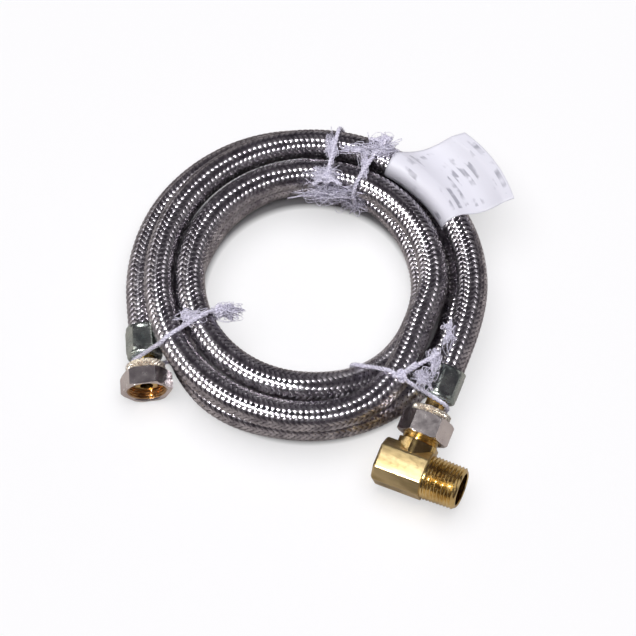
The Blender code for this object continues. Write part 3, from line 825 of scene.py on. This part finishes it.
def wisps(shape, route, centre, size, way, count, rng):
    """A tangle of loose fibres about a centre, drawn out along a way."""
    centre, size, way = np.array(centre), np.array(size), unit(way)
    local = route[np.linalg.norm(route - centre, axis=1) < 30.0]
    for _ in range(count):
        ball = rng.normal(size=3)
        start = centre + size * ball / np.linalg.norm(ball) * rng.uniform(0.1, 1.0)
        swing = rng.normal(size=3) * size * 0.55
        run = way * rng.uniform(-1.0, 1.0) * size.max() * 0.9
        t = np.linspace(0, 1, 9)[:, None]
        wave = rng.normal(size=3) * size * 0.35
        path = start + run * (t - 0.5) + swing * np.sin(pi * t) + wave * np.sin(2 * pi * t)
        path = clear_of_hose(path, local)
        ways = np.gradient(path, axis=0)
        ways /= np.linalg.norm(ways, axis=1, keepdims=True) + 1e-9
        across = np.cross(ways, (0.31, 0.52, 0.79))
        across /= np.linalg.norm(across, axis=1, keepdims=True) + 1e-9
        beside = np.cross(ways, across)
        radius = rng.uniform(*WISP_R)
        angles = np.array((0.0, pi / 2, pi, 3 * pi / 2))
        shape.add(path[:, None] + radius * rings(angles, across, beside), caps=True)


# Each tie's line on the floor, the neck that it holds, its knot, its tails' tips, and its tangles of loose
# fibre: centre, half size, way and count
TIES = (
    ("inlet_tie", ((-33.0, -14.3), (-58.5, -31.9), (-78.0, -33.65)), (INLET_END, INLET_WAY),
     (-38.2, -17.0, 22.5),
     ((-28.6, -14.5, 20.0), (-30.5, -18.0, 19.0), (-31.0, -13.0, 21.0)),
     (((-33.0, -15.8, 21.8), (4.6, 2.4, 1.9), (1.0, 0.1, 0.0), 120),
      ((-46.0, -21.5, 28.4), (4.5, 2.6, 0.5), (0.8, 0.5, 0.0), 40))),
    ("outlet_tie", ((13.5, -34.0), (41.0, -50.45), (58.5, -57.85)), (OUTLET_END, OUTLET_WAY),
     (43.6, -48.6, 28.0),
     ((50.0, -37.5, 29.0), (41.0, -42.0, 29.5)),
     (((43.6, -48.0, 28.4), (3.2, 3.0, 1.6), (1.0, -0.3, 0.0), 55),
      ((48.0, -40.0, 28.4), (2.2, 4.5, 0.8), (0.35, 1.0, 0.0), 45),
      ((54.0, -28.0, 27.0), (2.0, 5.0, 0.6), (0.2, 1.0, 0.0), 35))),
    ("top_tie", ((5.0, 34.0), (14.5, 76.0)), None, (7.4, 41.5, 27.9),
     ((1.0, 38.8, 25.5), (12.5, 37.5, 27.6)),
     (((5.5, 43.0, 27.2), (4.5, 3.0, 0.9), (1.0, -0.25, 0.0), 80),
      ((8.0, 37.6, 20.0), (8.0, 2.4, 3.4), (1.0, -0.35, -0.5), 150),
      ((18.6, 54.5, 27.2), (5.5, 1.8, 0.9), (1.0, -0.1, 0.0), 60),
      ((9.0, 55.0, 27.4), (1.8, 6.0, 0.5), (0.22, 1.0, 0.0), 50))),
    ("label_tie", ((13.6, 30.2), (36.0, 69.0)), None, (29.6, 57.6, 27.9),
     ((33.2, 58.5, 28.9), (24.0, 58.0, 28.9)),
     (((28.8, 55.0, 28.2), (4.4, 3.6, 1.1), (1.0, -0.2, 0.0), 130),
      ((18.5, 38.0, 12.0), (4.0, 2.4, 4.5), (0.5, 0.3, -1.0), 80),
      ((22.0, 47.0, 27.6), (1.6, 5.0, 0.5), (0.5, 0.87, 0.0), 45))),
)


def ties(route, finish):
    """Four ties, each a loop of twisted twine with a knot, its two tails and tangles of loose fibre."""
    rng = np.random.default_rng(SEED)
    for name, plan, neck, wanted, tails, tangles in TIES:
        points = tie_loop(route, plan, neck)
        loop = Line(points, closed=True)
        shape = Shape()
        twisted(shape, loop, round(loop.length / PLY_PITCH))
        fluff(shape, loop, LOOP_FIBRES, rng)
        strand = piece(f"{name}_twine", shape.mesh(name, sharp=None), finish, "hose_assembly", "twine", name)
        i = min(range(len(points)), key=lambda k: np.linalg.norm(points[k] - wanted))
        way = unit(points[(i + 1) % len(points)] - points[i - 1])
        outward = points[i] - np.mean(points, axis=0)
        centre = points[i] + 1.1 * unit(outward - way * (outward @ way))
        knot = Shape()
        line = Line(knot_line(centre, way, KNOT_SIZE), closed=True)
        twisted(knot, line, KNOT_TURNS, KNOT_TWINE_R)
        fluff(knot, line, KNOT_FIBRES, rng)
        for tip in tails:
            middle = (centre + np.array(tip)) / 2 + (0, 0, 0.9)
            t = np.linspace(0, 1, 14)[:, None]
            path = (1 - t) ** 2 * centre + 2 * t * (1 - t) * middle + t * t * np.array(tip)
            tail = Line(path)
            twisted(knot, tail, max(1, round(tail.length / PLY_PITCH)), TAIL_R)
            fluff(knot, tail, TAIL_FIBRES, rng)
        for middle, size, drawn, count in tangles:
            wisps(knot, route, middle, size, drawn, count, rng)
        tied = piece(f"{name}_knot", knot.mesh(name + "_knot", sharp=None), finish, "hose_assembly", "twine")


# ---------------------------------------------------------------- label


def label(finish):
    """A paper tag stuck over the outer turn, its free half standing out of the coil."""
    rows, wrap, flag = 37, 26, 30
    rho = HOSE_R + LABEL_GAP
    first_way, last_way = (np.array((*unit(way), 0.0)) for way in LABEL_WAYS)
    first, last = LABEL_ANGLES
    grid, uv = [], []
    for i in range(rows):
        share = i / (rows - 1)
        angle = first + (last - first) * share
        centre = coil_point(angle)
        radial = np.array((cos(radians(angle)), sin(radians(angle)), 0.0))
        row = []
        for k in range(wrap):
            a = radians(LABEL_WRAP[0] + (LABEL_WRAP[1] - LABEL_WRAP[0]) * k / (wrap - 1))
            row.append(centre + rho * (cos(a) * radial + sin(a) * UP))
        root = row[-1]
        pairs = (LABEL_FLAG, LABEL_DIP, LABEL_CURL)
        reach, dip, curl = (a + (b - a) * share for a, b in pairs)
        way = unit(first_way * (1 - share) + last_way * share)
        for k in range(1, flag + 1):
            t = k / flag
            lift = LABEL_RISE * t - dip * sin(pi * min(1, 1.25 * t)) + curl * t * t
            row.append(root + way * reach * t + UP * lift)
        grid.append(row)
        run = np.concatenate(([0.0], np.cumsum(np.linalg.norm(np.diff(np.array(row), axis=0), axis=1))))
        uv.append([(r / run[-1], share) for r in run])
    grid, uv = np.array(grid), np.array(uv)
    shape = Shape()
    shape.add(grid, wrap_columns=False, uv=uv, flip=True)
    sheet = piece("paper_label", shape.mesh("paper_label", uv_name="sheet", sharp=None), finish,
                  "hose_assembly", "paper", "wrap_label")
    thick = sheet.modifiers.new("thickness", "SOLIDIFY")
    thick.thickness = LABEL_THICK * MM
    thick.offset = 0
    return sheet


# ---------------------------------------------------------------- stage, light and camera


def stage():
    """A white floor, dimmer for all but the camera, with a glow of its own that softens its shadows."""
    bpy.ops.mesh.primitive_plane_add(size=FLOOR_SIZE, location=(0, 0, FLOOR_Z))
    floor = bpy.context.object
    floor.name = "floor"
    m, nodes, links, bsdf = shader(
        "floor", (0.42, 0.42, 0.42), 1.0, Specular_IOR_Level=0.0, Emission_Color=(1, 1, 1, 1),
    )
    where, reach = nodes.new("ShaderNodeTexCoord"), nodes.new("ShaderNodeVectorMath")
    reach.operation = "DISTANCE"
    reach.inputs[1].default_value = CENTRE * MM
    links.new(where.outputs["Object"], reach.inputs[0])
    off_coil = maths(nodes, links, "SUBTRACT", reach.outputs["Value"], COIL_MIDDLE * MM)
    glow = nodes.new("ShaderNodeMapRange")
    glow.inputs["From Min"].default_value, glow.inputs["From Max"].default_value = COIL_SHADE
    glow.inputs["To Max"].default_value = FLOOR_GLOW
    links.new(maths(nodes, links, "ABSOLUTE", off_coil, 0.0), glow.inputs["Value"])
    links.new(glow.outputs["Result"], bsdf.inputs["Emission Strength"])
    seen, grey = nodes.new("ShaderNodeLightPath"), nodes.new("ShaderNodeBsdfDiffuse")
    mix = nodes.new("ShaderNodeMixShader")
    grey.inputs["Color"].default_value = (0.46, 0.43, 0.40, 1)
    links.new(seen.outputs["Is Camera Ray"], mix.inputs["Fac"])
    links.new(grey.outputs["BSDF"], mix.inputs[1])
    links.new(bsdf.outputs["BSDF"], mix.inputs[2])
    links.new(mix.outputs["Shader"], nodes["Material Output"].inputs["Surface"])
    floor.data.materials.append(m)


def light(name, way, distance, size, watts, colour=(1, 1, 1), diffuse=True, glossy=True):
    data = bpy.data.lights.new(name, "AREA")
    data.shape = "DISK"
    data.size = size
    data.energy = watts
    data.color = colour
    obj = bpy.data.objects.new(name, data)
    bpy.context.scene.collection.objects.link(obj)
    way = Vector(unit(way))
    obj.location = way * distance
    obj.rotation_euler = way.to_track_quat("Z", "Y").to_euler()
    obj.visible_diffuse = diffuse
    obj.visible_glossy = glossy
    obj.visible_camera = False


def surroundings():
    """A dim room for the metal to reflect, which the camera sees as a pale wall."""
    world = bpy.data.worlds.new("room")
    bpy.context.scene.world = world
    world.use_nodes = True
    nodes, links = world.node_tree.nodes, world.node_tree.links
    nodes.clear()
    out, mix = nodes.new("ShaderNodeOutputWorld"), nodes.new("ShaderNodeMixShader")
    seen = nodes.new("ShaderNodeLightPath")
    room, wall = nodes.new("ShaderNodeBackground"), nodes.new("ShaderNodeBackground")
    room.inputs["Color"].default_value = (0.052, 0.044, 0.056, 1)
    wall.inputs["Color"].default_value = (0.9, 0.9, 0.9, 1)
    links.new(seen.outputs["Is Camera Ray"], mix.inputs["Fac"])
    links.new(room.outputs["Background"], mix.inputs[1])
    links.new(wall.outputs["Background"], mix.inputs[2])
    links.new(mix.outputs["Shader"], out.inputs["Surface"])


def camera():
    data = bpy.data.cameras.new("camera")
    data.lens, data.sensor_width = LENS, SENSOR
    obj = bpy.data.objects.new("camera", data)
    bpy.context.scene.collection.objects.link(obj)
    back = Vector((0, -cos(radians(ELEVATION)), sin(radians(ELEVATION))))
    obj.location = Vector(TARGET) + back * DISTANCE
    obj.rotation_euler = back.to_track_quat("Z", "Y").to_euler()
    bpy.context.scene.camera = obj


def main():
    camera()
    route = hose_route(1.0)
    line = Line(route)
    brass = metal(
        "forged_brass", (0.38, 0.28, 0.13), (0.66, 0.51, 0.27), 0.36, 260.0, 1400.0, 0.12, (BLOCK_TURN, 6.0),
    )
    machined = metal("machined_brass", (0.62, 0.42, 0.14), (0.92, 0.70, 0.32), 0.18, 160.0, 2600.0, 0.12)
    nickel = metal("dull_nickel", (0.70, 0.64, 0.63), (0.82, 0.76, 0.74), 0.24, 150.0, 1800.0, 0.18)
    # Bare brass for the nut's thread, darker than the machined brass: partly its own colour, partly painted
    # shade in the bore.
    shaded_bore_brass = metal("shaded_bore_brass", (0.34, 0.19, 0.08), (0.64, 0.41, 0.19), 0.22, 200.0, 2600.0, 0.12)
    # Cream, partly diffuse nickel for the knurl, lighter than the nut's flats: partly its own tint, partly a
    # painted sheen for the many glints on its teeth.
    knurl_nickel_and_sheen = metal(
        "knurl_nickel_and_sheen", (0.62, 0.55, 0.48), (0.98, 0.93, 0.82), 0.30, 400.0, 2600.0, 0.2, metallic=0.72,
    )
    zinc = metal("zinc_plate", (0.33, 0.38, 0.36), (0.60, 0.65, 0.60), 0.26, 120.0, 1500.0, 0.2)
    wire, twine = braid_metal(), twine_fibre()
    liner = hose_liner(line, liner_plastic())
    woven = braid(line, wire)
    sleeves = []
    for side, end, way, (back, knurled, long), nut_roll, ferrule_roll in (
        ("inlet", INLET_END, INLET_WAY, INLET_NUT, NUT_ROLLS[0], FERRULE_ROLLS[0]),
        ("outlet", OUTLET_END, OUTLET_WAY, OUTLET_NUT, NUT_ROLLS[1], FERRULE_ROLLS[1]),
    ):
        sleeves.append(ferrule(side, end_frame(end, way, 0.0, ferrule_roll), zinc))
        place = end_frame(end, way, back, nut_roll)
        sleeves += nut(side, place, knurled, long, nickel, knurl_nickel_and_sheen, shaded_bore_brass)
        for node in (f"{side}_tailpiece", f"{side}_sealing_cone"):
            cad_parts[node].data.materials.clear()
            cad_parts[node].data.materials.append(machined)
    elbow_pieces = elbow(brass, machined)
    ties(route, twine)
    label(paper())
    stage()
    surroundings()
    light("key", (-0.384, -0.366, 0.848), 0.9, 0.07, 17.0, diffuse=False)
    light("overhead", (0.0, 0.0, 1.0), 2.0, 2.5, 54.0, (0.98, 0.97, 1.0), glossy=False)
    light("left_card", (-1.0, -0.1, 0.35), 1.6, 0.9, 3.6, (1.0, 0.96, 0.9), diffuse=False)
    light("back_card", (0.3, 1.0, 0.45), 1.6, 1.2, 1.0, diffuse=False)
    light("right_card", (1.0, -0.3, 0.4), 1.6, 0.9, 0.9, (1.0, 0.96, 0.92), diffuse=False)
    bpy.context.scene.view_settings.view_transform = "Standard"


main()
